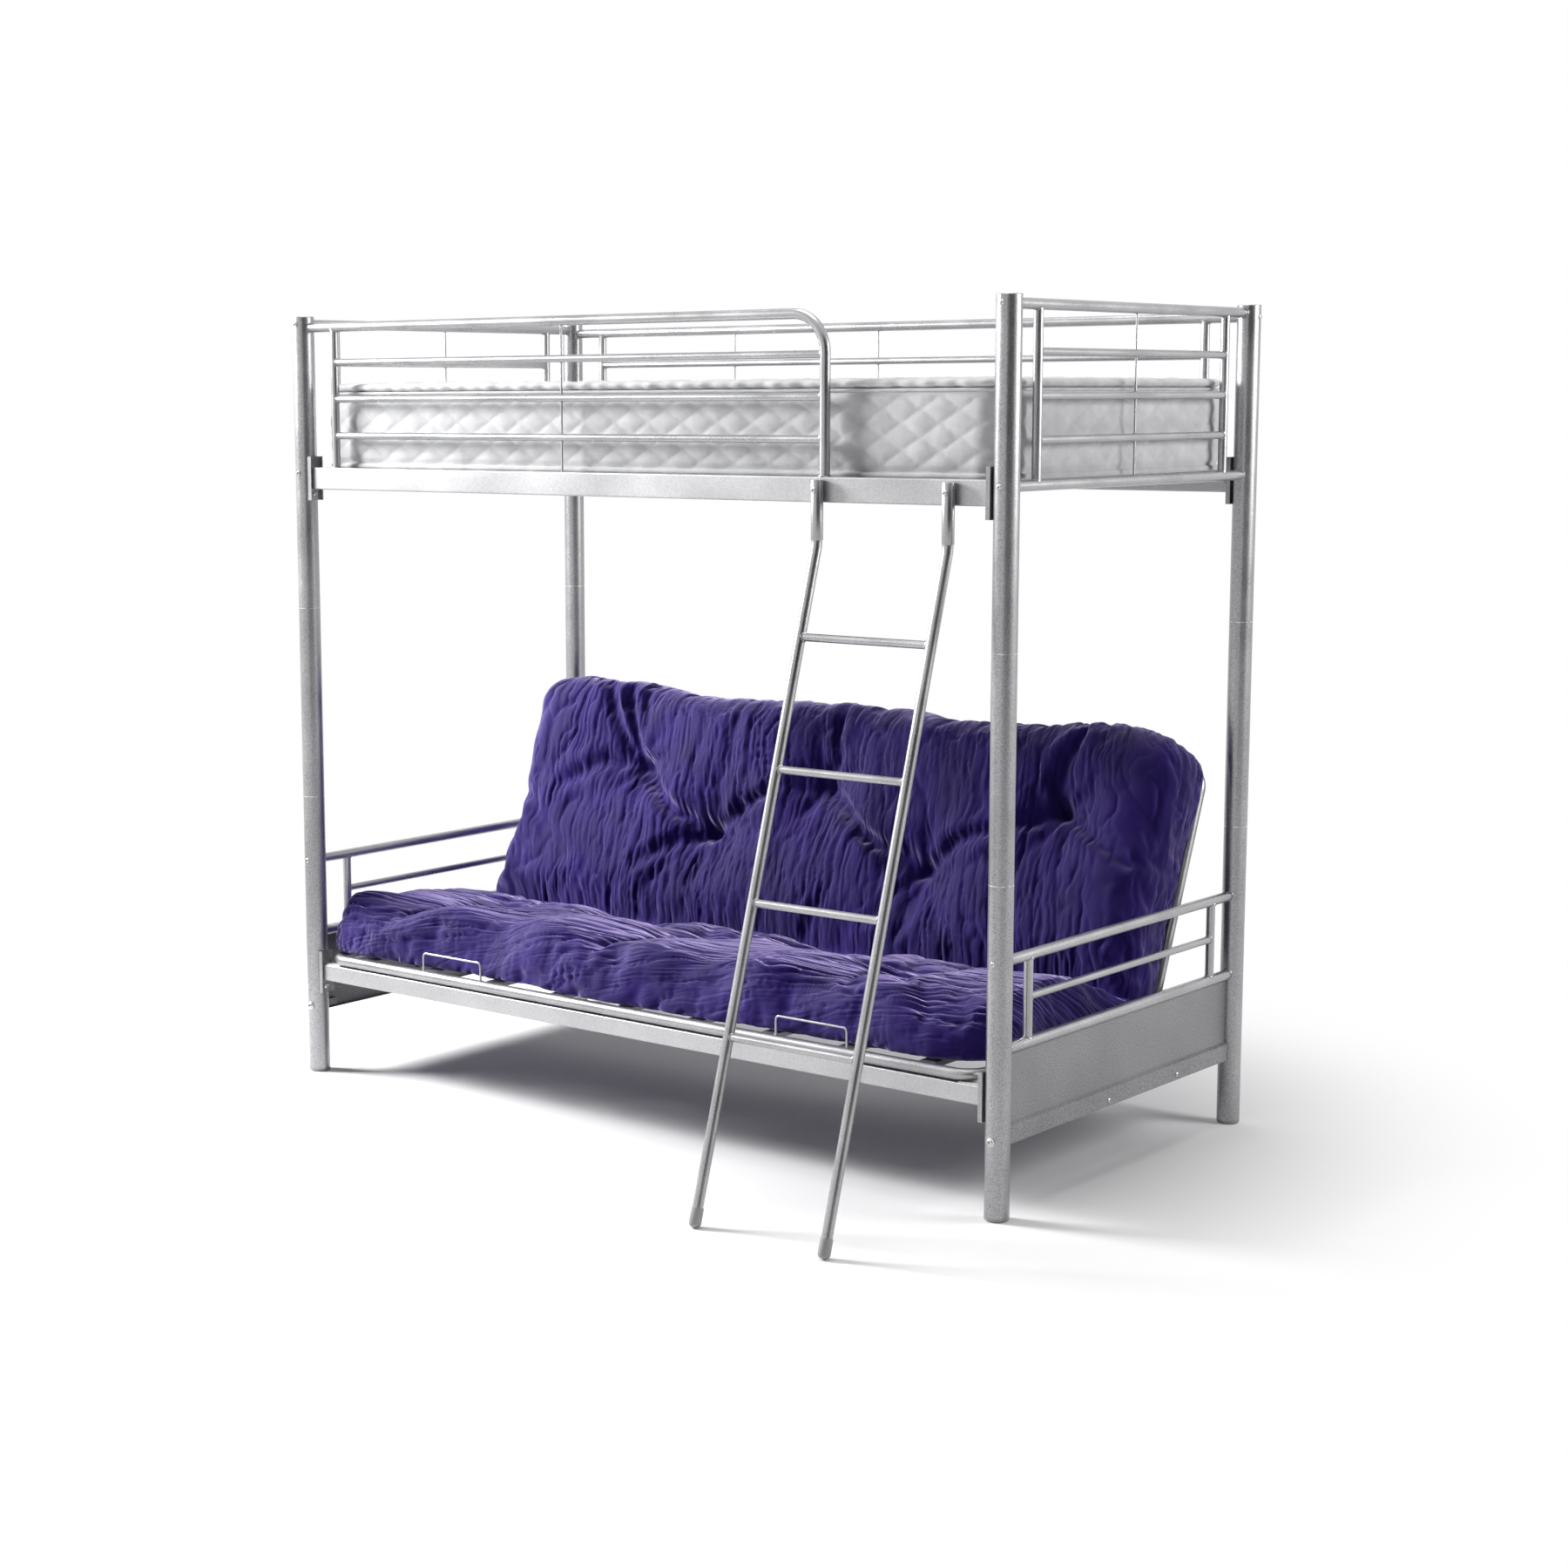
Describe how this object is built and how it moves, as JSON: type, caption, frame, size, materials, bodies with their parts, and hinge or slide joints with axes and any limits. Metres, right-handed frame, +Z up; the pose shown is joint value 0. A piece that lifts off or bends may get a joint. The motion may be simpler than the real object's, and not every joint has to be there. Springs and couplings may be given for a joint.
{
  "type": "futon bunk bed",
  "caption": "Single bunk carried on round tube posts over a pull-out futon, with guard rails, armrest ends and a bolted sloping ladder.",
  "frame": {"origin": "on the floor, in the middle of the box round the whole bed with the ladder", "axes": "+X along the bed to the ladder end, +Y from the ladder side to the back, +Z up"},
  "size_m": [2.0072, 1.4098, 1.809],
  "materials": {
    "tube_paint": "satin silver powder coat with a fine speckle",
    "sheet_panel": "satin silver powder coat on pressed sheet, slightly mottled",
    "fixings": "bright zinc-plated socket-head steel",
    "nylon": "natural nylon",
    "foot_plastic": "moulded silver-grey plastic",
    "futon_cover": "crinkled blue-violet cotton drill, tufted",
    "mattress_cover": "white quilted damask"
  },
  "bodies": {
    "frame": {"back_guard": "tube_paint", "back_left_post_lower": "tube_paint", "back_left_post_upper": "tube_paint", "back_right_post_lower": "tube_paint", "back_right_post_upper": "tube_paint", "bracket_bolts": "fixings", "frame_bolts": "fixings", "front_guard": "tube_paint", "front_left_post_lower": "tube_paint", "front_left_post_upper": "tube_paint", "front_right_post_lower": "tube_paint", "front_right_post_upper": "tube_paint", "ladder_bolts": "fixings", "ladder_feet": "foot_plastic", "ladder_frame": "tube_paint", "left_arm_frame": "tube_paint", "left_guide_track": "tube_paint", "left_panel": "sheet_panel", "lower_back_rail": "tube_paint", "lower_front_rail": "tube_paint", "lower_rail_brackets": "tube_paint", "panel_bolts": "fixings", "post_caps": "tube_paint", "post_feet": "foot_plastic", "post_middles": "tube_paint", "post_spigots": "tube_paint", "right_arm_frame": "tube_paint", "right_guide_track": "tube_paint", "right_panel": "sheet_panel", "seat_glides": "nylon", "track_bolts": "fixings", "upper_back_rail": "tube_paint", "upper_front_rail": "tube_paint", "upper_left_end_frame": "tube_paint", "upper_mattress": "mattress_cover", "upper_rail_brackets": "tube_paint", "upper_right_end_frame": "tube_paint", "upper_slats": "tube_paint"},
    "seat": {"seat_frame": "tube_paint", "seat_slats": "tube_paint", "mattress_stops": "tube_paint", "seat_legs": "tube_paint", "track_blocks": "nylon", "seat_pad": "futon_cover"},
    "back": {"back_frame": "tube_paint", "back_slats": "tube_paint", "hinge_rivets": "fixings", "back_pad": "futon_cover"}
  },
  "joints": [
    {"name": "seat_slide", "type": "slide", "parent": "frame", "child": "seat", "axis": [0, -1, 0], "range_m": [0, 0.285]},
    {"name": "back_fold", "type": "hinge", "parent": "seat", "child": "back", "pos_m": [0, 0.4141, 0.283], "axis": [-1, 0, 0], "range_deg": [0, 68]}
  ],
  "couplings": [
    {"joint": "back_fold", "follows": "seat_slide", "rad_per_m": 4.1642}
  ]
}
